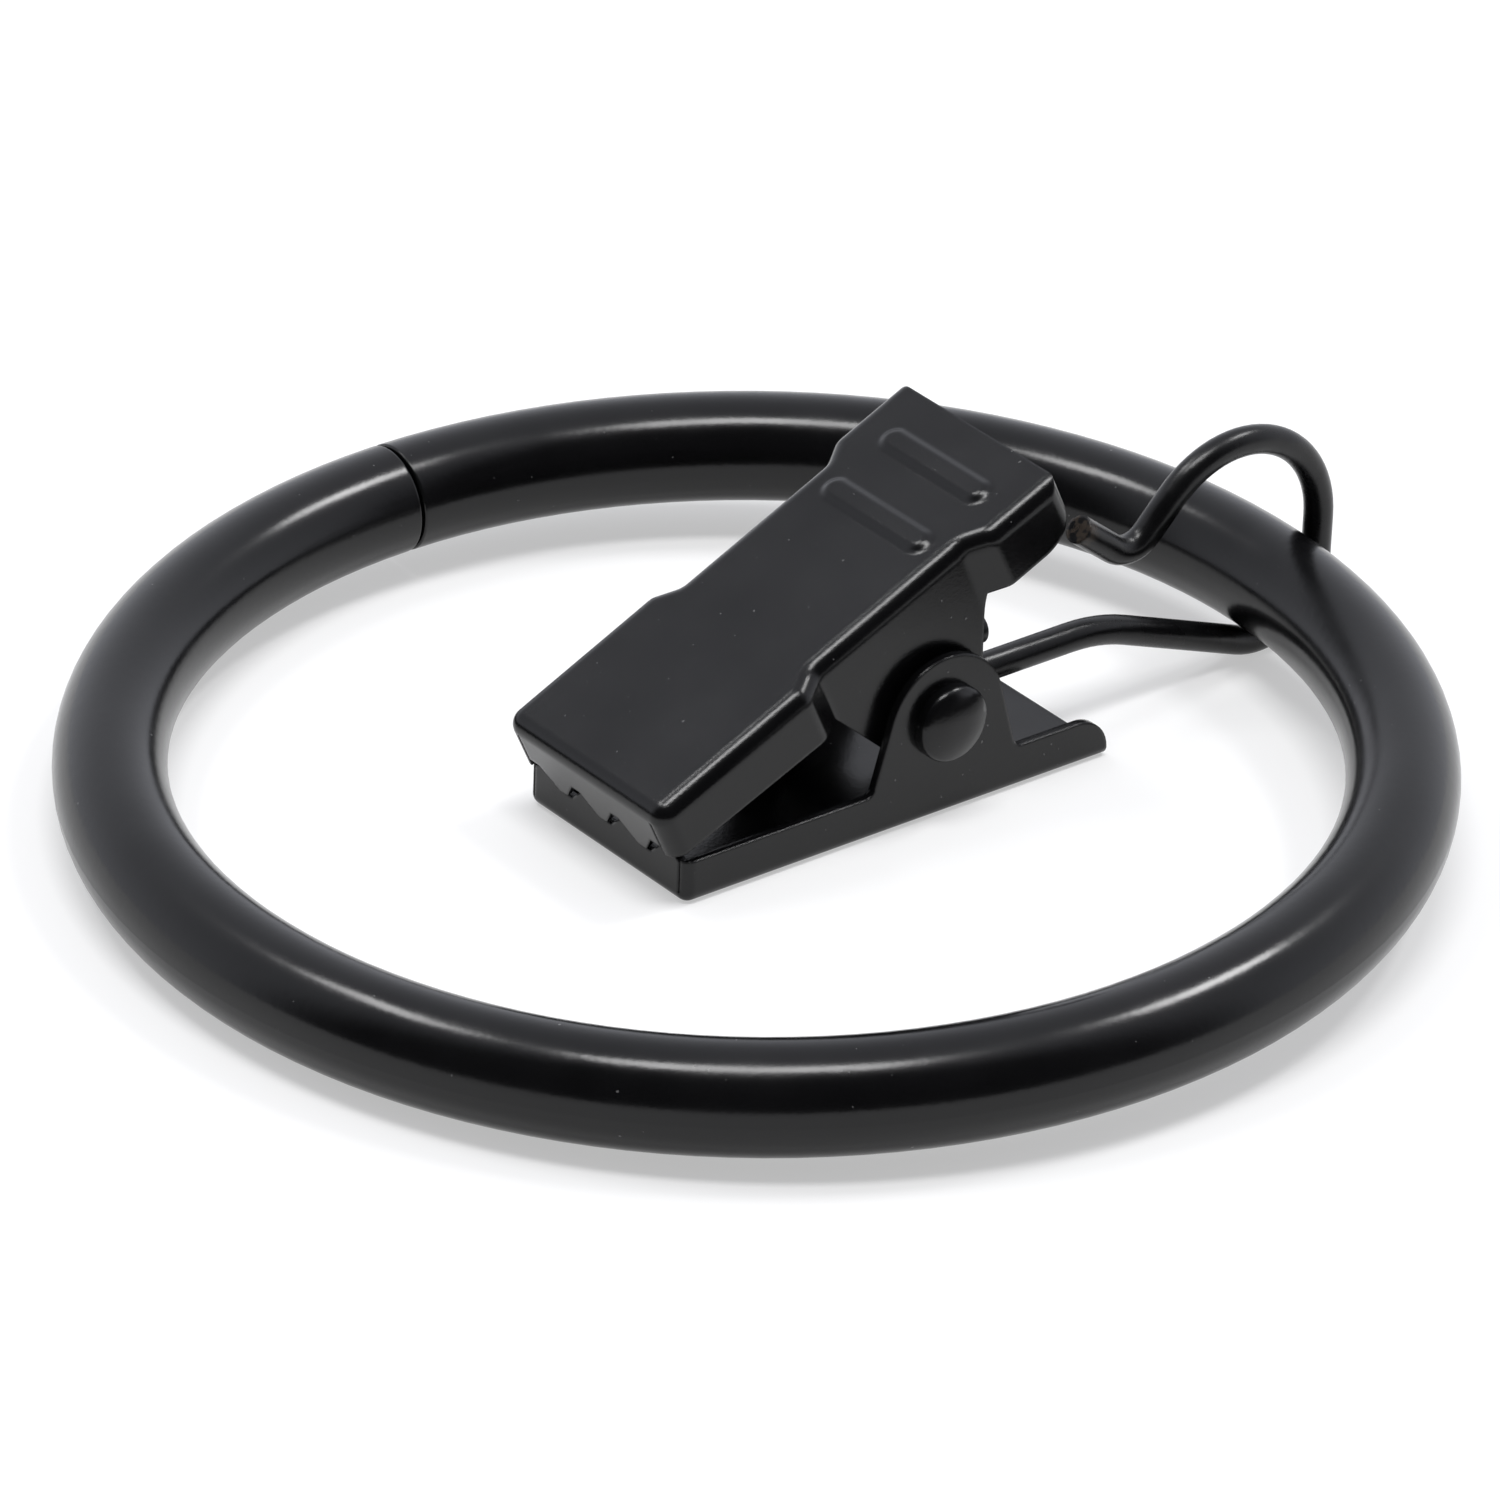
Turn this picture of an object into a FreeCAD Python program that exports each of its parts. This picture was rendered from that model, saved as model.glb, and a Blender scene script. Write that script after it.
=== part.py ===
import FreeCAD, Part

import math
import os
import re

import Sketcher

# A curtain ring with a spring clip: a rolled steel tube ring, a bent wire hook that swings on it,
# and a two-jaw clip of folded sheet on a rivet at the hook's end. It lies on the plane z = 0 as it
# would be put down: the clip flat on its base, the hook under the ring, and the ring raised on that
# wire. +X runs from the ring's centre to the hook, +Z is up. Millimetres and degrees.
SIZES = {
    # ring
    "ring_bore_d": 51.0,
    "tube_d": 5.0,
    "tube_wall": 0.7,
    "seam_gap": 0.15,
    "seam_angle": 88.0,
    "seam_round": 0.12,
    # hook wire
    "wire_d": 1.35,
    "wire_gap": 0.15,
    "hook_shift": -0.6,
    "free_end_reach": 4.7,
    "free_end_height": 1.42,
    "neck_reach": 4.45,
    "neck_bend_r": 3.0,
    "stem_height": 4.05,
    "stem_reach": 11.55,
    "stem_bend_r": 9.0,
    "loop_rise": 1.9,
    "loop_r": 5.1,
    "loop_sweep": 136.0,
    "tip_drop": 2.0,
    "tip_bend_r": 1.5,
    "tip_turn": 84.0,
    "tip_length": 2.5,
    # clip: place, sheet and rivet
    "clip_shift": 1.3,
    "rivet_x": 7.05,
    "rivet_height": 4.72,
    "sheet": 0.4,
    "ear_gap": 0.4,
    "slit": 0.1,
    "shank_d": 1.9,
    "pivot_gap": 0.05,
    "head_d": 3.6,
    "head_thick": 0.6,
    "head_round": 0.3,
    "head_dome": 0.4,
    "head_flat": 0.3,
    "tail_head_d": 3.2,
    # lower jaw
    "base_width": 11.2,
    "base_bend_r": 0.5,
    "base_corner_r": 0.55,
    "base_front": 14.2,
    "base_rear": 9.25,
    "rim_height": 2.1,
    "wall_height": 2.4,
    "base_ear_r": 3.1,
    "base_ear_slope": 16.0,
    "base_foot_r": 0.5,
    "tail_round": 1.7,
    # upper jaw
    "lever_angle": 25.0,
    "plate_height": 6.75,
    "lever_front": 14.3,
    "lever_rear": 9.45,
    "lever_inset": 0.05,
    "lever_bend_r": 0.75,
    "lever_corner_r": 0.8,
    "jaw_length": 8.7,
    "handle_length": 4.05,
    "taper_run": 1.2,
    "taper_round": 0.8,
    "jaw_flange_front": 2.72,
    "jaw_flange_rear": 2.98,
    "handle_flange": 3.12,
    "handle_round": 2.0,
    "handle_corner_r": 0.7,
    "lever_ear_r": 2.56,
    "lever_ear_slope": 24.3,
    # teeth
    "tooth_margin": 0.725,
    "tooth_flat": 0.55,
    "tooth_gap": 0.1,
    "base_tooth": 0.75,
    "lever_tooth": 1.0,
    # thumb ribs
    "rib_width": 1.5,
    "rib_margin": 0.45,
    "rib_height": 0.2,
    "rib_slope": 62.0,
    "rib_round": 0.4,
    "rib_foot_r": 0.4,
    "rib_first": 3.36,
    "rib_spacing": 3.5,
    # spring
    "spring_wire_d": 0.8,
    "spring_d": 3.6,
    "spring_pitch": 0.85,
    "spring_side_gap": 0.8,
    "spring_full_turns": 3.0,
    "spring_gap": 0.05,
    "tail_leg_reach": 6.2,
    "handle_leg_reach": 6.3,
}

RIB_COUNT = 2
# lengths closer than this count as the same
SAME = 1e-4
# a swept wire's volume may differ by this share from its section times its length
SWEEP_SLACK = 0.02
Vector = FreeCAD.Vector

doc = FreeCAD.newDocument("curtain_ring_with_clip")
sheet = doc.addObject("Spreadsheet::Sheet", "Sizes")
for row, (alias, size) in enumerate(SIZES.items(), start=1):
    sheet.set(f"A{row}", alias)
    sheet.set(f"B{row}", str(size))
    sheet.setAlias(f"B{row}", alias)
doc.recompute()


# Sizes, sketches and features

def sized(text):
    """The expression with each size's name pointing at its cell."""
    return re.sub(r"[a-z]\w*", lambda word: "Sizes." + word[0] if word[0] in SIZES else word[0], text)


def value(text):
    """The number that an expression of sizes gives."""
    return float(sheet.evalExpression(sized(text)))


def bind(target, name, text):
    """Drive one property or constraint by an expression of sizes."""
    target.setExpression(name, sized(text))


def new_body(label):
    body = doc.addObject("PartDesign::Body", label)
    body.Label = label
    return body


def new_sketch(body, name, plane, offset="0"):
    """A sketch on one of the body's origin planes, moved along the plane's normal."""
    sketch = body.newObject("Sketcher::SketchObject", name)
    support = [feature for feature in body.Origin.OriginFeatures if feature.Role == plane][0]
    sketch.AttachmentSupport = (support, [""])
    sketch.MapMode = "FlatFace"
    bind(sketch, "AttachmentOffset.Base.z", offset)
    return sketch


def place_point(sketch, geometry, end, across, up):
    """Hold one point of a sketch at two expressions, measured from the sketch's origin."""
    for kind, text in (("DistanceX", across), ("DistanceY", up)):
        index = sketch.addConstraint(Sketcher.Constraint(kind, -1, 1, geometry, end, value(text)))
        bind(sketch, f"Constraints[{index}]", text)


def arc_between(start, end, radius):
    """The short arc from one point to another that bulges to the right of the way between them."""
    chord = end - start
    reach = math.sqrt(radius ** 2 - (chord.Length / 2) ** 2)
    left = Vector(-chord.y, chord.x, 0) / chord.Length
    centre = (start + end) / 2 + left * reach
    middle = centre - left * radius
    return Part.Arc(start, middle, end)


def add_polygon(sketch, corners):
    """A closed outline through corners given as pairs of expressions, anticlockwise.

    A corner with a third expression is reached by an arc of that radius.
    """
    points = [Vector(value(corner[0]), value(corner[1]), 0) for corner in corners]
    edges = []
    for number, start in enumerate(points):
        following = (number + 1) % len(points)
        arc_r = corners[following][2:]
        if arc_r:
            curve = arc_between(start, points[following], value(arc_r[0]))
        else:
            curve = Part.LineSegment(start, points[following])
        edges.append(sketch.addGeometry(curve))
        if arc_r:
            index = sketch.addConstraint(Sketcher.Constraint("Radius", edges[-1], value(arc_r[0])))
            bind(sketch, f"Constraints[{index}]", arc_r[0])
    for edge, following in zip(edges, edges[1:] + edges[:1]):
        sketch.addConstraint(Sketcher.Constraint("Coincident", edge, 2, following, 1))
    for edge, corner in zip(edges, corners):
        place_point(sketch, edge, 1, corner[0], corner[1])


def add_circle(sketch, across, up, radius):
    centre = Vector(value(across), value(up), 0)
    circle = sketch.addGeometry(Part.Circle(centre, Vector(0, 0, 1), value(radius)))
    place_point(sketch, circle, 3, across, up)
    index = sketch.addConstraint(Sketcher.Constraint("Radius", circle, value(radius)))
    bind(sketch, f"Constraints[{index}]", radius)


def extrude(body, kind, sketch, length, side="One side", reverse=False, taper="0"):
    """A Pad or Pocket of a sketch, which has to change the body's volume."""
    before = body.Shape.Volume if body.Tip else 0.0
    feature = body.newObject("PartDesign::" + kind, sketch.Name + "_" + kind.lower())
    feature.Profile = sketch
    feature.SideType = side
    feature.Reversed = reverse
    bind(feature, "Length", length)
    bind(feature, "TaperAngle", taper)
    doc.recompute()
    if near(body.Shape.Volume, before):
        raise RuntimeError(f"{feature.Name} changed nothing")
    return feature


def round_edges(body, name, radius, wanted):
    """Fillet the edges of the body that pass a test."""
    tip = body.Tip
    names = []
    for number, edge in enumerate(tip.Shape.Edges, start=1):
        if len(edge.Vertexes) == 2 and wanted(edge):
            names.append(f"Edge{number}")
    if not names:
        raise RuntimeError(f"no edge for {name}")
    feature = body.newObject("PartDesign::Fillet", name)
    feature.Base = (tip, names)
    bind(feature, "Radius", radius)
    doc.recompute()
    if "Invalid" in feature.State:
        raise RuntimeError(f"{name} failed")
    return feature


def near(first, second):
    return abs(first - second) < SAME


def lies_on(edge, **planes):
    """Whether every end point of an edge lies on the named coordinate planes; y is taken as |y|."""
    for vertex in edge.Vertexes:
        spot = {"x": vertex.X, "y": abs(vertex.Y), "z": vertex.Z}
        if not all(near(spot[axis], place) for axis, place in planes.items()):
            return False
    return True


def runs_along(edge, axis):
    """Whether an edge is a straight line along one axis."""
    step = edge.Vertexes[1].Point - edge.Vertexes[0].Point
    spans = {"x": abs(step.x), "y": abs(step.y), "z": abs(step.z)}
    return spans.pop(axis) > SAME and max(spans.values()) < SAME


def clip_place(angle=0.0):
    """The rivet's axis, where the clip's pieces have their origin."""
    turn = FreeCAD.Rotation(Vector(0, 1, 0), -angle)
    return FreeCAD.Placement(Vector(value("rivet_x"), value("clip_shift"), value("rivet_height")), turn)


# Ring: a tube bent to a circle, with its two ends a seam apart

RING_R = "(ring_bore_d / 2 + tube_d / 2)"
LIFT = "(wire_d + wire_gap)"


def ring_tilt():
    """The slope at which the ring lies, on the floor at one side and on the wire at the other."""
    return math.degrees(math.asin(value(LIFT) / (2 * value(RING_R))))


def make_ring():
    body = new_body("ring")
    section = new_sketch(body, "ring_section", "XZ_Plane")
    add_circle(section, RING_R, "0", "tube_d / 2")
    add_circle(section, RING_R, "0", "tube_d / 2 - tube_wall")
    bend = body.newObject("PartDesign::Revolution", "ring_bend")
    bend.Profile = section
    bend.ReferenceAxis = (section, ["V_Axis"])
    seam_turn = f"(seam_gap / {RING_R} * 180 / pi)"
    bind(bend, "Angle", f"360 - {seam_turn}")
    doc.recompute()
    ends = []
    for number, edge in enumerate(bend.Shape.Edges, start=1):
        if isinstance(edge.Curve, Part.Circle) and near(edge.Curve.Radius, value("tube_d / 2")):
            ends.append(f"Edge{number}")
    rounding = body.newObject("PartDesign::Fillet", "seam_edges")
    rounding.Base = (bend, ends)
    bind(rounding, "Radius", "seam_round")
    doc.recompute()
    to_seam = FreeCAD.Rotation(Vector(0, 0, 1), value(f"seam_angle + {seam_turn} / 2"))
    tilt = FreeCAD.Rotation(Vector(0, 1, 0), -ring_tilt())
    centre = Vector(0, 0, value(f"tube_d / 2 + {LIFT} / 2"))
    body.Placement = FreeCAD.Placement(centre, tilt.multiply(to_seam))
    return body


# Hook: one wire, bent in a plane

class BentWire:
    """A path of straight runs and tangent bends in the XZ plane, made as a wire former makes it."""

    def __init__(self, across, up, heading):
        self.spot = Vector(across, 0, up)
        self.heading = heading
        self.edges = []

    def direction(self, turn=0.0):
        angle = math.radians(self.heading + turn)
        return Vector(math.cos(angle), 0, math.sin(angle))

    def run(self, length):
        end = self.spot + self.direction() * length
        self.edges.append(Part.LineSegment(self.spot, end).toShape())
        self.spot = end

    def bend(self, radius, turn):
        """Turn by an angle: left, or right where it is negative."""
        side = math.copysign(90, turn)
        centre = self.spot + self.direction(side) * radius
        middle = centre - self.direction(side + turn / 2) * radius
        end = centre - self.direction(side + turn) * radius
        self.edges.append(Part.Arc(self.spot, middle, end).toShape())
        self.spot = end
        self.heading += turn


def polar(across, up):
    """The distance and angle of a point from the rivet's axis."""
    return math.hypot(across, up), math.degrees(math.atan2(up, across))


def touch_angle(radius, distance):
    """The angle between the line to a circle's centre and the line that touches the circle."""
    return math.degrees(math.asin(radius / distance))


def touch_length(radius, distance):
    return math.sqrt(distance ** 2 - radius ** 2)


def bend_trim(radius, turn):
    """The length that a bend takes from each of the runs that it joins."""
    return radius * math.tan(math.radians(abs(turn)) / 2)


def hook_path():
    eye_r = value("shank_d / 2 + pivot_gap + wire_d / 2")
    stem_z = value("stem_height - rivet_height")
    seat_r = value("tube_d / 2 + wire_gap + wire_d / 2")
    tube_x = value(RING_R) * math.cos(math.radians(ring_tilt())) - value("rivet_x")
    tube_z = value(f"tube_d / 2 + {LIFT} - rivet_height")

    # free end, laid over the rivet
    end_far, end_angle = polar(value("free_end_reach"), value("free_end_height"))
    heading = end_angle + 180 - touch_angle(eye_r, end_far)
    path = BentWire(value("free_end_reach"), value("free_end_height"), heading)
    path.run(touch_length(eye_r, end_far))

    # eye round the rivet, and the neck that brings the wire to the stem's line
    neck_far, neck_angle = polar(value("neck_reach"), stem_z)
    neck_turn = neck_angle + touch_angle(eye_r, neck_far)
    path.bend(eye_r, neck_turn - heading + 360)
    neck_trim = bend_trim(value("neck_bend_r"), neck_turn)
    path.heading = neck_turn
    path.run(touch_length(eye_r, neck_far) - neck_trim)
    path.bend(value("neck_bend_r"), -neck_turn)

    # stem, and the ramp that takes it under the ring
    ramp_far, ramp_angle = polar(tube_x - value("stem_reach"), tube_z - stem_z)
    ramp_turn = ramp_angle - touch_angle(seat_r, ramp_far)
    ramp_trim = bend_trim(value("stem_bend_r"), ramp_turn)
    path.run(value("stem_reach - neck_reach") - neck_trim - ramp_trim)
    path.bend(value("stem_bend_r"), ramp_turn)
    path.run(touch_length(seat_r, ramp_far) - ramp_trim)

    # seat under the tube, loop over it and turned-out tip
    path.bend(seat_r, 90 - ramp_turn)
    path.run(value("loop_rise"))
    path.bend(value("loop_r"), value("loop_sweep"))
    path.run(value("tip_drop"))
    path.bend(value("tip_bend_r"), -value("tip_turn"))
    path.run(value("tip_length"))
    return path


def sweep_round(label, route, start, direction, diameter):
    """A round wire along a route, whose thickness is driven by a size."""
    spine = doc.addObject("Part::Feature", label + "_route")
    spine.Shape = route
    section = doc.addObject("Part::Circle", label + "_section")
    bind(section, "Radius", f"{diameter} / 2")
    section.Placement = FreeCAD.Placement(start, FreeCAD.Rotation(Vector(0, 0, 1), direction))
    swept = doc.addObject("Part::Sweep", label)
    swept.Label = label
    swept.Sections = [section]
    swept.Spine = (spine, [f"Edge{number + 1}" for number in range(len(route.Edges))])
    swept.Solid = True
    swept.Frenet = False
    doc.recompute()
    expected = route.Length * math.pi * value(diameter) ** 2 / 4
    if abs(swept.Shape.Volume / expected - 1) > SWEEP_SLACK:
        raise RuntimeError(f"the volume of {label} is not its section times its length")
    return swept


def make_hook():
    path = hook_path()
    route = Part.Wire(path.edges)
    first = path.edges[0]
    start = first.Vertexes[0].Point
    hook = sweep_round("hook", route, start, first.tangentAt(first.FirstParameter), "wire_d")
    hook.Placement = FreeCAD.Placement(
        Vector(value("rivet_x"), value("hook_shift"), value("rivet_height")), FreeCAD.Rotation())
    return hook


# Toothed front walls of the two jaws

# four teeth fill the lower jaw's wall, with a margin at each end, and the upper jaw's three fit between them
TOOTH_PITCH = "((base_width / 2 - sheet - tooth_margin - tooth_flat / 2) / 1.5)"


def notch(centre, valley, tip, beyond, room="0"):
    """The gap between two flat-topped teeth, from its flat valley to past the tips."""
    low = f"(tooth_flat / 2 + {room})"
    high = f"({TOOTH_PITCH} - tooth_flat) / 2"
    return [
        (f"{centre} - {low}", valley),
        (f"{centre} + {low}", valley),
        (f"{centre} + {high}", tip),
        (f"{centre} + {high}", beyond),
        (f"{centre} - {high}", beyond),
        (f"{centre} - {high}", tip),
    ]


def mirrored(corners):
    """The same corners on the other side of the middle plane."""
    return [(f"-({across})", up) for across, up in corners]


def cut_base_wall(body, half, floor, rim, wall):
    """Four teeth up; a slit parts the wall from each side flange, above the fold."""
    inner = f"({half} - sheet)"
    beyond = f"({wall} + sheet)"
    valley = f"({wall} - base_tooth)"
    teeth = new_sketch(body, "base_teeth", "YZ_Plane", "-base_front + sheet")
    for step in (-1, 0, 1):
        add_polygon(teeth, notch(f"{step} * {TOOTH_PITCH}", valley, wall, beyond, room="tooth_gap"))
    last_tip = f"{inner} - tooth_margin"
    side = [
        (last_tip, wall),
        (f"{inner} - slit", f"{wall} - base_tooth / 2"),
        (f"{inner} - slit", f"{floor} + base_bend_r"),
        (inner, f"{floor} + base_bend_r"),
        (inner, rim),
        (f"{half} + sheet", rim),
        (f"{half} + sheet", beyond),
        (last_tip, beyond),
    ]
    add_polygon(teeth, side)
    add_polygon(teeth, mirrored(side))
    extrude(body, "Pocket", teeth, "2 * sheet")


def cut_lever_wall(body, half, tip):
    """Three teeth down, deeper than the flanges beside them, from which slits part the wall."""
    beyond = f"({tip} - sheet)"
    valley = f"({tip} + lever_tooth / cos(lever_angle))"
    flange = "(plate_height - jaw_flange_front)"
    corner = f"({half} - lever_corner_r)"
    teeth = new_sketch(body, "lever_teeth", "YZ_Plane", "-lever_front + sheet")
    for step in (-0.5, 0.5):
        add_polygon(teeth, notch(f"{step} * {TOOTH_PITCH}", valley, tip, beyond))
    last_tip = f"{TOOTH_PITCH} + tooth_flat / 2"
    side = [
        (last_tip, tip),
        (f"1.5 * {TOOTH_PITCH} - tooth_flat / 2", valley),
        (f"{corner} - slit", valley),
        (f"{corner} - slit", "plate_height - lever_bend_r"),
        (corner, "plate_height - lever_bend_r"),
        (corner, flange),
        (f"{half} + sheet", flange),
        (f"{half} + sheet", beyond),
        (last_tip, beyond),
    ]
    add_polygon(teeth, side)
    add_polygon(teeth, mirrored(side))
    extrude(body, "Pocket", teeth, "2 * sheet")


# Lower jaw: a folded channel with two ears, a toothed front and a rounded tail

def make_base_jaw():
    body = new_body("base_jaw")
    half = "(base_width / 2)"
    inner = f"({half} - sheet)"
    floor = "(-rivet_height)"
    rim = "(rim_height - rivet_height)"
    wall = "(wall_height - rivet_height)"
    ear_x = "base_ear_r * cos(base_ear_slope)"
    ear_z = "base_ear_r * sin(base_ear_slope)"
    foot = f"((base_ear_r - {rim} * sin(base_ear_slope)) / cos(base_ear_slope))"

    outline = new_sketch(body, "base_outline", "XZ_Plane")
    add_polygon(outline, [
        ("-base_front", floor),
        ("base_rear", floor),
        ("base_rear", rim),
        (foot, rim),
        (ear_x, ear_z),
        (f"-{ear_x}", ear_z, "base_ear_r"),
        (f"-{foot}", rim),
        ("-base_front + sheet", rim),
        ("-base_front + sheet", wall),
        ("-base_front", wall),
    ])
    extrude(body, "Pad", outline, "base_width", side="Symmetric")

    floor_z = value(floor)
    rim_z = value(rim)
    rear_x = value("base_rear")
    round_edges(body, "base_corners", "base_corner_r", lambda edge: (
        runs_along(edge, "z") and lies_on(edge, x=-value("base_front"))))
    round_edges(body, "base_folds", "base_bend_r", lambda edge: (
        lies_on(edge, z=floor_z) and not lies_on(edge, x=rear_x)))
    round_edges(body, "ear_feet", "base_foot_r", lambda edge: (
        lies_on(edge, z=rim_z) and runs_along(edge, "y") and near(abs(edge.Vertexes[0].X), value(foot))))

    channel = new_sketch(body, "base_channel", "XY_Plane", f"{floor} + sheet")
    add_polygon(channel, [
        ("-base_front + sheet", f"-{inner}"),
        ("base_rear + sheet", f"-{inner}"),
        ("base_rear + sheet", inner),
        ("-base_front + sheet", inner),
    ])
    extrude(body, "Pocket", channel, "rivet_height + 2 * base_ear_r", reverse=True)
    round_edges(body, "base_inner_folds", "base_bend_r - sheet", lambda edge: (
        lies_on(edge, z=value(f"{floor} + sheet")) and not lies_on(edge, x=rear_x)))

    tail = new_sketch(body, "base_tail", "XZ_Plane")
    add_polygon(tail, [
        ("base_rear - tail_round", rim, "tail_round"),
        ("base_rear - tail_round", f"{rim} + sheet"),
        ("base_rear + sheet", f"{rim} + sheet"),
        ("base_rear + sheet", f"{rim} - tail_round"),
        ("base_rear", f"{rim} - tail_round"),
    ])
    extrude(body, "Pocket", tail, "2 * base_width", side="Symmetric")
    cut_base_wall(body, half, floor, rim, wall)

    hole = new_sketch(body, "base_hole", "XZ_Plane")
    add_circle(hole, "0", "0", "shank_d / 2 + pivot_gap")
    extrude(body, "Pocket", hole, "2 * base_width", side="Symmetric")
    body.Placement = clip_place()
    return body


# Upper jaw: a folded plate with a jaw, a waist with two ears and a ribbed thumb plate

# the upper jaw's ears run inside the lower jaw's
EAR_REACH = "(base_width / 2 - sheet - ear_gap)"
# the ribs stop short of the folds beside the waist
RIB_REACH = f"({EAR_REACH} - lever_bend_r - rib_margin)"


def both_sides(line):
    """A closed outline from a line along one side and its mirror image."""
    return line + [(along, f"-{across}") for along, across in reversed(line)]


def make_lever_jaw():
    body = new_body("lever_jaw")
    half = "(base_width / 2 - lever_inset)"
    # the tips stop a tooth gap above the lower jaw's valleys, measured along the leaning wall
    tip_level = "(wall_height - base_tooth + tooth_gap - rivet_height)"
    tip = f"(({tip_level} + lever_front * sin(lever_angle)) / cos(lever_angle))"
    depth = "(plate_height + lever_ear_r)"

    # seen from above: a wide jaw, a narrow waist and a wide thumb plate
    stations = [
        ("(jaw_length - lever_front)", half),
        ("(jaw_length + taper_run - lever_front)", EAR_REACH),
        ("(lever_rear - handle_length - taper_run)", EAR_REACH),
        ("(lever_rear - handle_length)", half),
    ]
    plan = new_sketch(body, "lever_plan", "XY_Plane", "-lever_ear_r")
    add_polygon(plan, both_sides([("-lever_front", half)] + stations + [("lever_rear", half)]))
    extrude(body, "Pad", plan, depth)

    front_x = value("-lever_front")
    rear_x = value("lever_rear")
    top_z = value("plate_height")
    taper_x = [value(along) for along, across in stations]
    round_edges(body, "lever_corners", "lever_corner_r", lambda edge: (
        runs_along(edge, "z") and lies_on(edge, x=front_x)))
    round_edges(body, "lever_tapers", "taper_round", lambda edge: (
        runs_along(edge, "z") and any(near(edge.Vertexes[0].X, along) for along in taper_x)))
    round_edges(body, "lever_folds", "lever_bend_r", lambda edge: (
        lies_on(edge, z=top_z) and not lies_on(edge, x=rear_x)))

    # the hollow follows the same outline, a sheet's thickness inside it
    inside = [("sheet - lever_front", half)] + stations + [("lever_rear + sheet", half)]
    hollow = new_sketch(body, "lever_hollow", "XY_Plane", "plate_height - sheet")
    add_polygon(hollow, both_sides([(along, f"({across} - sheet)") for along, across in inside]))
    extrude(body, "Pocket", hollow, depth)
    round_edges(body, "lever_inner_tapers", "taper_round", lambda edge: (
        runs_along(edge, "z") and any(near(edge.Vertexes[0].X, along) for along in taper_x)))
    round_edges(body, "lever_inner_folds", "lever_bend_r - sheet", lambda edge: (
        lies_on(edge, z=top_z - value("sheet")) and not lies_on(edge, x=rear_x)))

    cut_lever_side(body, tip)
    cut_lever_wall(body, half, tip)
    round_handle(body, half, f"2 * {depth}")

    hole = new_sketch(body, "lever_hole", "XZ_Plane")
    add_circle(hole, "0", "0", "shank_d / 2 + pivot_gap")
    extrude(body, "Pocket", hole, "2 * base_width", side="Symmetric")
    add_ribs(body)
    body.Placement = clip_place(value("lever_angle"))
    return body


def cut_lever_side(body, tip):
    """Trim the folds below the plate: front wall, jaw flanges, round ears and handle flanges."""
    handle_z = "(plate_height - handle_flange)"
    jaw_z = "(plate_height - jaw_flange_rear)"
    ear_x = "lever_ear_r * cos(lever_ear_slope)"
    ear_z = "(-lever_ear_r * sin(lever_ear_slope))"
    below = "-(lever_ear_r + sheet)"
    waste = new_sketch(body, "lever_side", "XZ_Plane")
    add_polygon(waste, [
        ("-lever_front - sheet", tip),
        ("-lever_front + sheet", tip),
        ("-lever_front + sheet", "plate_height - jaw_flange_front"),
        (f"-(lever_ear_r + {jaw_z} * sin(lever_ear_slope)) / cos(lever_ear_slope)", jaw_z),
        (f"-{ear_x}", ear_z),
        (ear_x, ear_z, "lever_ear_r"),
        (f"(lever_ear_r + {handle_z} * sin(lever_ear_slope)) / cos(lever_ear_slope)", handle_z),
        ("lever_rear + sheet", handle_z),
        ("lever_rear + sheet", below),
        ("-lever_front - sheet", below),
    ])
    extrude(body, "Pocket", waste, "2 * base_width", side="Symmetric")
    round_edges(body, "handle_corners", "handle_round", lambda edge: (
        lies_on(edge, x=value("lever_rear"), z=value(handle_z))))


def round_handle(body, half, depth):
    """Round the thumb plate's two free corners, seen from above."""
    line = f"({half} - handle_corner_r)"
    before = "(lever_rear - handle_corner_r)"
    clear = "(lever_rear + sheet)"
    corners = new_sketch(body, "handle_plan", "XY_Plane")
    add_polygon(corners, [
        (before, half, "handle_corner_r"),
        (before, f"{half} + sheet"),
        (clear, f"{half} + sheet"),
        (clear, line),
        ("lever_rear", line),
    ])
    add_polygon(corners, [
        ("lever_rear", f"-{line}", "handle_corner_r"),
        (clear, f"-{line}"),
        (clear, f"-({half} + sheet)"),
        (before, f"-({half} + sheet)"),
        (before, f"-{half}"),
    ])
    extrude(body, "Pocket", corners, depth, side="Symmetric")


def add_ribs(body):
    """Raised thumb ribs across the plate, pressed up from a groove in its underside."""
    top_z = value("plate_height")
    add_slots(body, "ribs", "Pad", "plate_height", "rib_width", False, "-rib_slope")
    round_edges(body, "rib_tops", "rib_round", lambda edge: lies_on(edge, z=top_z + value("rib_height")))
    round_edges(body, "rib_feet", "rib_foot_r", lambda edge: (
        lies_on(edge, z=top_z) and all(on_rib(vertex) for vertex in edge.Vertexes)))
    add_slots(body, "grooves", "Pocket", "plate_height - sheet", "(rib_width - 2 * rib_height * tan(rib_slope))", True)


def on_rib(vertex):
    """Whether a corner lies on the outline of one of the ribs, seen from above."""
    for number in range(RIB_COUNT):
        along = abs(vertex.X - value(f"rib_first + {number} * rib_spacing"))
        if along < value("rib_width") and abs(vertex.Y) < value(RIB_REACH) + value("rib_height"):
            return True
    return False


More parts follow.
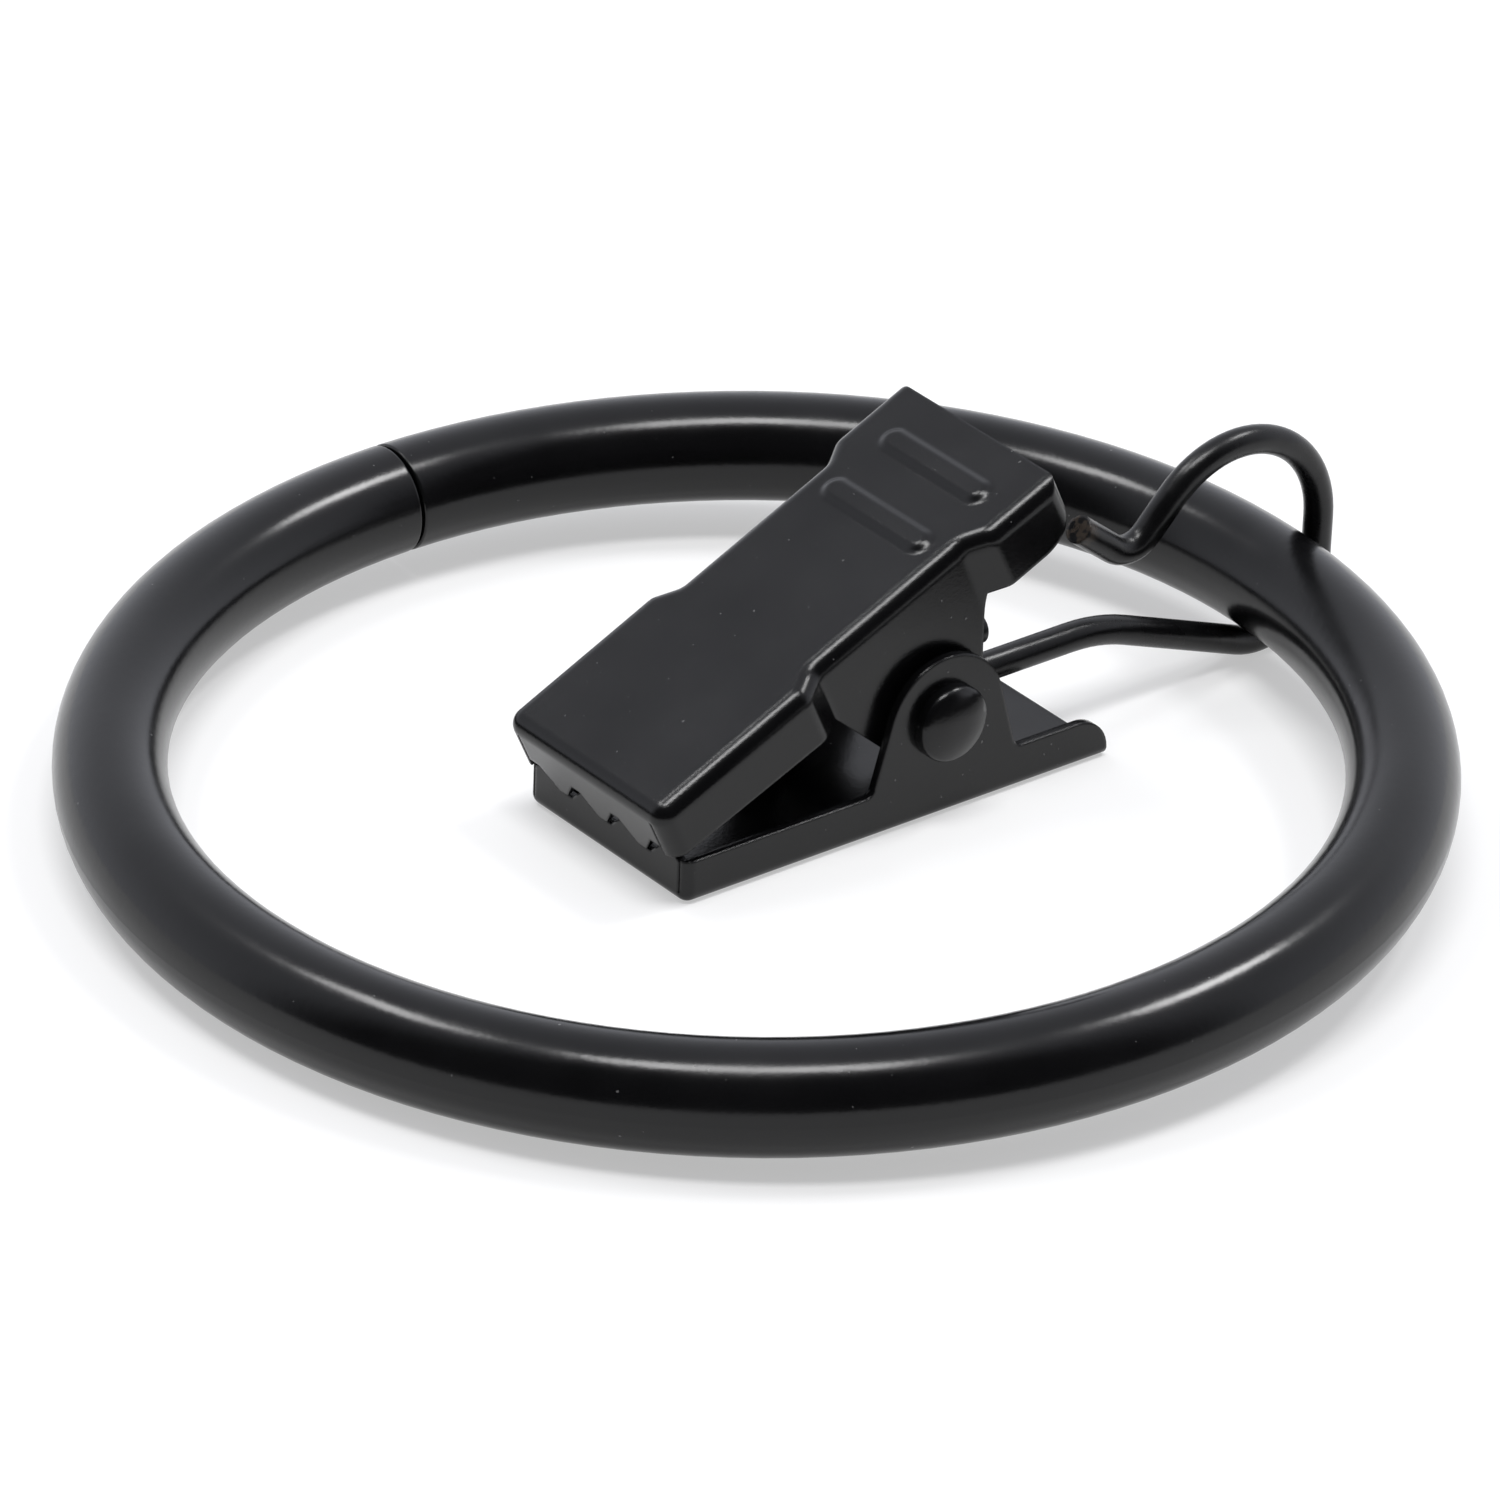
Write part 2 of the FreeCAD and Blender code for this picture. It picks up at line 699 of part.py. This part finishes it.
def add_slots(body, name, kind, level, width, reverse, taper="0"):
    """Round-ended bars across the plate."""
    reach = f"({RIB_REACH} - rib_width / 2)"
    end_r = f"({width} / 2)"
    bars = new_sketch(body, name, "XY_Plane", level)
    for number in range(RIB_COUNT):
        centre = f"(rib_first + {number} * rib_spacing)"
        add_polygon(bars, [
            (f"{centre} - {end_r}", f"-{reach}"),
            (centre, f"-({reach} + {end_r})", end_r),
            (f"{centre} + {end_r}", f"-{reach}", end_r),
            (f"{centre} + {end_r}", reach),
            (centre, f"{reach} + {end_r}", end_r),
            (f"{centre} - {end_r}", reach, end_r),
        ])
    extrude(body, kind, bars, "rib_height", reverse=reverse, taper=taper)


# Rivet: a shank through all four ears, with a made head and a formed head

def make_rivet():
    body = new_body("pivot_rivet")
    half = "base_width / 2"
    profile = new_sketch(body, "rivet_profile", "XY_Plane")
    dome_r = "((((head_d - head_flat) / 2) ^ 2 + head_dome ^ 2) / (2 * head_dome))"
    add_polygon(profile, [
        ("0", f"-({half} + head_thick + head_dome)"),
        ("head_flat / 2", f"-({half} + head_thick + head_dome)"),
        ("head_d / 2", f"-({half} + head_thick)", dome_r),
        ("head_d / 2", f"-{half}"),
        ("shank_d / 2", f"-{half}"),
        ("shank_d / 2", half),
        ("tail_head_d / 2", half),
        ("tail_head_d / 2", f"{half} + head_thick"),
        ("0", f"{half} + head_thick"),
    ])
    turned = body.newObject("PartDesign::Revolution", "rivet_turned")
    turned.Profile = profile
    turned.ReferenceAxis = (profile, ["V_Axis"])
    turned.Angle = 360
    doc.recompute()
    outer = value(f"{half} + head_thick")
    rims = []
    for number, edge in enumerate(turned.Shape.Edges, start=1):
        if edge.isClosed() and edge.Length > 0 and lies_on(edge, y=outer):
            rims.append(f"Edge{number}")
    rounding = body.newObject("PartDesign::Fillet", "rivet_rims")
    rounding.Base = (turned, rims)
    bind(rounding, "Radius", "head_round")
    body.Placement = clip_place()
    return body


# Torsion spring: a coil on the rivet beside the hook's eye, with a leg on each jaw

def make_spring():
    coil_r = value("spring_d / 2")
    tail_x = value("tail_leg_reach")
    tail_z = value("sheet + spring_wire_d / 2 + spring_gap - rivet_height")
    under_plate = Vector(value("handle_leg_reach"), 0,
                         value("plate_height - sheet - spring_wire_d / 2 - spring_gap"))
    handle = FreeCAD.Rotation(Vector(0, 1, 0), -value("lever_angle")).multVec(under_plate)

    handle_far, handle_angle = polar(handle.x, handle.z)
    tail_far, tail_angle = polar(tail_x, tail_z)
    start_heading = handle_angle + 180 - touch_angle(coil_r, handle_far)
    end_heading = tail_angle + touch_angle(coil_r, tail_far) + 360
    turns = value("spring_full_turns") + (end_heading - start_heading) / 360
    height = turns * value("spring_pitch")
    far_end = value(f"{EAR_REACH} - sheet - spring_side_gap - spring_wire_d / 2")

    # the coil winds towards the hook's eye, seen anticlockwise from the near side
    helix = Part.makeHelix(value("spring_pitch"), height, coil_r)
    upright = FreeCAD.Rotation(Vector(1, 0, 0), 90)
    to_start = FreeCAD.Rotation(Vector(0, 0, 1), start_heading - 90)
    helix.Placement = FreeCAD.Placement(Vector(0, far_end, 0), upright.multiply(to_start))
    coil = helix.Edges
    first, last = coil[0], coil[-1]
    into = first.tangentAt(first.FirstParameter)
    out = last.tangentAt(last.LastParameter)
    start = first.valueAt(first.FirstParameter)
    end = last.valueAt(last.LastParameter)
    handle_leg = Part.LineSegment(start - into * touch_length(coil_r, handle_far), start).toShape()
    tail_leg = Part.LineSegment(end, end + out * touch_length(coil_r, tail_far)).toShape()
    route = Part.Wire([handle_leg] + coil + [tail_leg])
    spring = sweep_round("torsion_spring", route, handle_leg.Vertexes[0].Point, into, "spring_wire_d")
    spring.Placement = clip_place()
    return spring


# Build, test and write each piece

pieces = [make_ring(), make_hook(), make_base_jaw(), make_lever_jaw(), make_rivet(), make_spring()]
doc.recompute()
for item in doc.Objects:
    if "Invalid" in item.State or "Error" in item.State:
        raise RuntimeError(f"{item.Label} failed: {item.State}")
for piece in pieces:
    if piece.Shape.isNull() or not piece.Shape.isValid() or len(piece.Shape.Solids) != 1:
        raise RuntimeError(f"{piece.Label} is not one valid solid")

os.makedirs("parts", exist_ok=True)
for piece in pieces:
    box = piece.Shape.BoundBox
    piece.Shape.exportStep(os.path.join("parts", piece.Label + ".step"))
    print(f"{piece.Label}: volume {piece.Shape.Volume:.2f}"
          f" x {box.XMin:.2f} {box.XMax:.2f} y {box.YMin:.2f} {box.YMax:.2f} z {box.ZMin:.2f} {box.ZMax:.2f}")
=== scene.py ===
import math

import bpy
from mathutils import Matrix, Vector


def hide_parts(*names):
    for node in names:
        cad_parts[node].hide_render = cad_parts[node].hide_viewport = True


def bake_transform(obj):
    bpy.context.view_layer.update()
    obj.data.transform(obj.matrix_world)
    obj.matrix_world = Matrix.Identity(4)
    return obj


# A black curtain ring with a sprung clip, put down on a white table under a row of three overhead lamps.
# Metres; +X runs from the ring's centre to the hook and +Z is up.

MM = 0.001
WHITE = (1.0, 1.0, 1.0)

# The camera's place, seen from the ring's centre
CAMERA_AZIMUTH = math.radians(38.98)
CAMERA_ELEVATION = math.radians(29.26)
CAMERA_ROLL = math.radians(2.184)
CAMERA_DISTANCE = 462.7 * MM
CAMERA_TARGET = Vector((-0.1, 0.0, 3.25)) * MM
LENS = 256.26
SENSOR = 36.0
SHIFT_X = -0.0033
SHIFT_Y = 0.0034

# Level directions in the picture
AWAY = Vector((math.sin(CAMERA_AZIMUTH), math.cos(CAMERA_AZIMUTH), 0.0))
RIGHT = Vector((math.cos(CAMERA_AZIMUTH), -math.sin(CAMERA_AZIMUTH), 0.0))

# Overhead lamps: place to the right and away, width, depth, turn in degrees, brightness
LAMPS = {
    "lamp_left": (-0.51, 0.22, 0.17, 0.38, 12.0, 15.0),
    "lamp_middle": (-0.02, -0.12, 0.48, 0.20, 0.0, 17.5),
    "lamp_right": (0.60, 0.37, 0.19, 0.36, -26.0, 26.0),
}
LAMP_HEIGHT = 1.0

# Brightness of the room: white behind and above the object, dark behind the camera
ROOM_COLOUR = (0.96, 0.98, 1.06)
ROOM_BACK = 1.0
ROOM_ABOVE = 0.78
ROOM_FRONT = 0.05

# How far back the room turns from dark to white, and how high its back fades to the ceiling
ROOM_TURN = (-0.42, 0.04)
ROOM_RISE = (0.1, 0.8)

# The floor, and how much white is laid over it where it is seen or mirrored, so that shadows stay pale
FLOOR_SIZE = 6.0
FLOOR_PATCH = 0.2
FLOOR_DARK = (0.86, 0.86, 0.86)
FLOOR_LIGHT = (0.90, 0.90, 0.90)
FLOOR_LIFT = 0.47

# Black paint
PAINT_DARK = (0.0018, 0.0018, 0.0020)
PAINT_LIGHT = (0.0045, 0.0045, 0.0050)
PAINT_IOR = 1.39
EDGE_ROUND = 0.2 * MM
DUST = (0.10, 0.10, 0.10)

# Bare metal of the hook's wire, and of the spring with and without oil
BARE_STEEL = (0.12, 0.095, 0.075)
OILED_STEEL = (0.30, 0.29, 0.28)
CLEAN_STEEL = (0.46, 0.46, 0.47)

# Where the hook's wire was cut, and where it was gripped to bend its tip
HOOK_TIP = (17.2 * MM, -0.6 * MM, 9.4 * MM)
HOOK_GRIP = (21.3 * MM, -0.9 * MM, 8.8 * MM)

# Parts of a noise's values: most of them, those where dust begins to show, and those where paint is chipped
NOISE_RANGE = (0.3, 0.7)
DUST_RANGE = (0.87, 0.90)
CHIP_RANGE = (0.48, 0.58)

# Sockets of a colour mix
MIX_FIRST = 6
MIX_SECOND = 7
MIX_RESULT = 2


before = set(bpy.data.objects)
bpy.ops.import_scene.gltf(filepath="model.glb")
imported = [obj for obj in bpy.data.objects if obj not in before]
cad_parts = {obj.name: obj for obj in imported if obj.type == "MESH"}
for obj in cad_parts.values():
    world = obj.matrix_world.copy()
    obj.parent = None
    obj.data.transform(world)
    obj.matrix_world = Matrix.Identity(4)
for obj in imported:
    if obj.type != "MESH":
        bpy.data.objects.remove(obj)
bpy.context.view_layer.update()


# Patterns

class Pattern:
    """A tree of nodes, built one node at a time."""

    def __init__(self, tree):
        self.nodes = tree.nodes
        self.links = tree.links

    def add(self, kind, **settings):
        node = self.nodes.new(kind)
        for name, setting in settings.items():
            setattr(node, name, setting)
        return node

    def join(self, output, socket):
        self.links.new(output, socket)

    def feed(self, source, socket):
        """Set a number or a colour on a socket, or join another node's output to it."""
        if isinstance(source, float):
            socket.default_value = source
        elif isinstance(source, tuple):
            socket.default_value = (*source, 1.0)
        else:
            self.join(source, socket)

    def spread(self, source, low, high, start=0.0, end=1.0, curve="LINEAR"):
        """The source's range from start to end, stretched to run from low to high."""
        node = self.add("ShaderNodeMapRange", interpolation_type=curve)
        values = {"Value": source, "From Min": start, "From Max": end, "To Min": low, "To Max": high}
        for name, setting in values.items():
            self.feed(setting, node.inputs[name])
        return node.outputs["Result"]


class Shader(Pattern):
    """A material's surface and its patterns."""

    def __init__(self, name):
        self.material = bpy.data.materials.new(name)
        self.material.use_nodes = True
        super().__init__(self.material.node_tree)
        self.principled = self.nodes["Principled BSDF"]
        self.place = self.add("ShaderNodeTexCoord").outputs["Object"]

    def surface(self, **values):
        """Set constant values on the surface shader's own sockets."""
        for name, setting in values.items():
            self.principled.inputs[name.replace("_", " ")].default_value = setting

    def noise(self, size, detail=2.0, roughness=0.5):
        """Noise whose grains are about the given size across."""
        node = self.add("ShaderNodeTexNoise")
        node.inputs["Scale"].default_value = 1.0 / size
        node.inputs["Detail"].default_value = detail
        node.inputs["Roughness"].default_value = roughness
        self.join(self.place, node.inputs["Vector"])
        return node.outputs["Fac"]

    def vary(self, noise, low, high):
        """A noise stretched to run from low to high."""
        return self.spread(noise, low, high, *NOISE_RANGE)

    def mask(self, noise, start, end):
        """Zero below a part of a noise's values, and one above it."""
        return self.spread(noise, 0.0, 1.0, start, end)

    def math(self, operation, first, second):
        """Two values, or a value and a number, joined by an operation."""
        node = self.add("ShaderNodeMath", operation=operation)
        self.feed(first, node.inputs[0])
        self.feed(second, node.inputs[1])
        return node.outputs[0]

    def tint(self, factor, first, second):
        """A colour between two, by a factor."""
        node = self.add("ShaderNodeMix", data_type="RGBA")
        self.join(factor, node.inputs[0])
        self.feed(first, node.inputs[MIX_FIRST])
        self.feed(second, node.inputs[MIX_SECOND])
        return node.outputs[MIX_RESULT]

    def worn_edges(self, radius):
        """A normal that turns softly round sharp edges."""
        node = self.add("ShaderNodeBevel", samples=6)
        node.inputs["Radius"].default_value = radius
        return node.outputs["Normal"]

    def bump(self, height, depth, under=None):
        """A normal roughened by a height of the given depth, on top of another normal."""
        node = self.add("ShaderNodeBump")
        node.inputs["Strength"].default_value = 1.0
        node.inputs["Distance"].default_value = depth
        self.join(height, node.inputs["Height"])
        if under:
            self.join(under, node.inputs["Normal"])
        return node.outputs["Normal"]

    def near(self, spot, radius):
        """One at a spot, falling to zero at a radius from it."""
        node = self.add("ShaderNodeVectorMath", operation="DISTANCE")
        self.join(self.place, node.inputs[0])
        node.inputs[1].default_value = spot
        return self.spread(node.outputs["Value"], 1.0, 0.0, end=radius)

    def lift(self, share):
        """Lay white over the surface where it is seen, mirrored or seen through glass."""
        path = self.add("ShaderNodeLightPath").outputs
        seen = self.math("MAXIMUM", path["Is Camera Ray"], path["Is Glossy Ray"])
        seen = self.math("MAXIMUM", seen, path["Is Transmission Ray"])
        glow = self.add("ShaderNodeEmission")
        glow.inputs["Color"].default_value = (*WHITE, 1.0)
        glow.inputs["Strength"].default_value = 1.0
        mix = self.add("ShaderNodeMixShader")
        self.join(self.math("MULTIPLY", seen, share), mix.inputs[0])
        self.join(self.principled.outputs["BSDF"], mix.inputs[1])
        self.join(glow.outputs["Emission"], mix.inputs[2])
        self.join(mix.outputs["Shader"], self.nodes["Material Output"].inputs["Surface"])

    def finish(self, colour=None, rough=None, metal=None, normal=None):
        sources = {"Base Color": colour, "Roughness": rough, "Metallic": metal, "Normal": normal}
        for name, source in sources.items():
            if source:
                self.join(source, self.principled.inputs[name])
        return self.material


# Materials

def with_dust(shader, paint, size):
    """A few scattered pale specks over a paint colour."""
    specks = shader.mask(shader.noise(size, detail=0.0), *DUST_RANGE)
    return shader.tint(specks, paint, DUST)


def gloss_paint(name):
    """Semi-gloss black on the rolled tube: slow waves, faint orange peel and a few specks of dust."""
    shader = Shader(name)
    shader.surface(IOR=PAINT_IOR)
    mottle = shader.noise(size=4.0 * MM, detail=4.0)
    paint = shader.tint(mottle, PAINT_DARK, PAINT_LIGHT)
    colour = with_dust(shader, paint, size=0.25 * MM)
    rough = shader.vary(mottle, low=0.16, high=0.22)
    waves = shader.bump(shader.noise(size=7.0 * MM, detail=1.0), depth=0.05 * MM)
    peel = shader.bump(shader.noise(size=0.35 * MM), depth=0.004 * MM, under=waves)
    return shader.finish(colour, rough, normal=peel)


def satin_paint(name):
    """Satin black on pressed sheet: a fine even grain, slight patches and softened edges."""
    shader = Shader(name)
    shader.surface(IOR=PAINT_IOR)
    patches = shader.noise(size=5.0 * MM, detail=3.0)
    paint = shader.tint(patches, PAINT_DARK, PAINT_LIGHT)
    colour = with_dust(shader, paint, size=0.2 * MM)
    rough = shader.vary(patches, low=0.16, high=0.24)
    edges = shader.worn_edges(EDGE_ROUND)
    waves = shader.bump(shader.noise(size=3.0 * MM, detail=1.0), depth=0.012 * MM, under=edges)
    grain = shader.noise(size=0.16 * MM, detail=2.0, roughness=0.7)
    normal = shader.bump(grain, depth=0.006 * MM, under=waves)
    return shader.finish(colour, rough, normal=normal)


def wire_paint(name):
    """Black on bent wire: dented where it was gripped, and bare at the cut end."""
    shader = Shader(name)
    shader.surface(IOR=PAINT_IOR)
    mottle = shader.noise(size=2.0 * MM, detail=4.0)
    paint = shader.tint(mottle, PAINT_DARK, PAINT_LIGHT)
    chips = shader.mask(shader.noise(size=0.35 * MM, detail=3.0), *CHIP_RANGE)
    bare = shader.math("MULTIPLY", shader.near(HOOK_TIP, radius=1.0 * MM), chips)
    colour = shader.tint(bare, paint, BARE_STEEL)
    rough = shader.vary(mottle, low=0.22, high=0.32)
    edges = shader.worn_edges(EDGE_ROUND)
    marks = shader.noise(size=1.2 * MM, detail=0.0)
    gripped = shader.math("MULTIPLY", shader.near(HOOK_GRIP, radius=3.0 * MM), marks)
    dents = shader.bump(gripped, depth=0.10 * MM, under=edges)
    waves = shader.bump(shader.noise(size=1.6 * MM, detail=1.0), depth=0.03 * MM, under=dents)
    normal = shader.bump(shader.noise(size=0.4 * MM), depth=0.004 * MM, under=waves)
    return shader.finish(colour, rough, metal=bare, normal=normal)


def spring_steel(name):
    """Drawn spring wire, dull grey with darker patches of oil."""
    shader = Shader(name)
    shader.surface(Metallic=1.0)
    patches = shader.noise(size=1.5 * MM, detail=4.0)
    colour = shader.tint(patches, OILED_STEEL, CLEAN_STEEL)
    rough = shader.vary(patches, low=0.25, high=0.45)
    normal = shader.bump(shader.noise(size=0.2 * MM, detail=2.0), depth=0.006 * MM)
    return shader.finish(colour, rough, normal=normal)


# Pieces

def dress(piece, material):
    piece.data.materials.clear()
    piece.data.materials.append(material)


def dress_pieces():
    """Paint every piece but the spring; the two jaws share one paint."""
    clip_paint = satin_paint("clip_satin_black")
    paints = {
        "ring": gloss_paint("ring_gloss_black"),
        "hook": wire_paint("hook_gloss_black"),
        "base_jaw": clip_paint,
        "lever_jaw": clip_paint,
        "pivot_rivet": satin_paint("rivet_satin_black"),
    }
    for name, paint in paints.items():
        dress(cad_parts[name], paint)


def make_spring():
    """A copy of the spring in bare steel, put in the place of the model's spring, which is hidden."""
    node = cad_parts["torsion_spring"]
    spring = bpy.data.objects.new("winding_spring", node.data.copy())
    spring.matrix_world = node.matrix_world
    dress(spring, spring_steel("spring_bare_steel"))
    bpy.context.collection.objects.link(spring)
    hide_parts("torsion_spring")
    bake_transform(spring)


# Floor

def make_floor():
    bpy.ops.mesh.primitive_plane_add(size=FLOOR_SIZE)
    floor = bpy.context.object
    floor.name = "floor"
    shader = Shader("floor_white")
    shader.surface(Roughness=0.9, Specular_IOR_Level=0.0)
    shader.lift(FLOOR_LIFT)
    patches = shader.noise(FLOOR_PATCH, detail=2.0)
    colour = shader.tint(patches, FLOOR_DARK, FLOOR_LIGHT)
    dress(floor, shader.finish(colour))


# Light

def make_lamps():
    for name, (aside, back, width, depth, turn, brightness) in LAMPS.items():
        light = bpy.data.lights.new(name, "AREA")
        light.shape = "RECTANGLE"
        light.size = width
        light.size_y = depth
        light.energy = brightness * math.pi * width * depth
        lamp = bpy.data.objects.new(name, light)
        lamp.location = RIGHT * aside + AWAY * back + Vector((0.0, 0.0, LAMP_HEIGHT))
        lamp.rotation_euler = (0.0, 0.0, math.radians(turn) - CAMERA_AZIMUTH)
        bpy.context.collection.objects.link(lamp)


def make_room():
    """White all round where it is seen; where it is reflected, white behind and dark in front."""
    world = bpy.data.worlds.new("room")
    bpy.context.scene.world = world
    world.use_nodes = True
    room = Pattern(world.node_tree)

    direction = room.add("ShaderNodeTexCoord").outputs["Generated"]
    split = room.add("ShaderNodeSeparateXYZ")
    room.join(direction, split.inputs[0])
    backwards = room.add("ShaderNodeVectorMath", operation="DOT_PRODUCT")
    room.join(direction, backwards.inputs[0])
    backwards.inputs[1].default_value = AWAY

    behind = room.spread(split.outputs["Z"], ROOM_BACK, ROOM_ABOVE, *ROOM_RISE, curve="SMOOTHSTEP")
    bright = room.spread(backwards.outputs["Value"], ROOM_FRONT, behind, *ROOM_TURN, curve="SMOOTHSTEP")
    seen = room.add("ShaderNodeLightPath").outputs["Is Camera Ray"]
    background = room.nodes["Background"]
    background.inputs["Color"].default_value = (*ROOM_COLOUR, 1.0)
    room.join(room.spread(seen, bright, 1.0), background.inputs["Strength"])


# Camera

def make_camera():
    lens = bpy.data.cameras.new("camera")
    lens.lens = LENS
    lens.sensor_width = SENSOR
    lens.shift_x = SHIFT_X
    lens.shift_y = SHIFT_Y
    camera = bpy.data.objects.new("camera", lens)
    forward = AWAY * math.cos(CAMERA_ELEVATION) - Vector((0.0, 0.0, math.sin(CAMERA_ELEVATION)))
    turn = forward.to_track_quat("-Z", "Y").to_matrix().to_4x4()
    place = Matrix.Translation(CAMERA_TARGET - forward * CAMERA_DISTANCE)
    camera.matrix_world = place @ turn @ Matrix.Rotation(CAMERA_ROLL, 4, "Z")
    bpy.context.collection.objects.link(camera)
    bpy.context.scene.camera = camera


dress_pieces()
make_spring()
make_floor()
make_lamps()
make_room()
make_camera()
bpy.context.scene.view_settings.view_transform = "Standard"
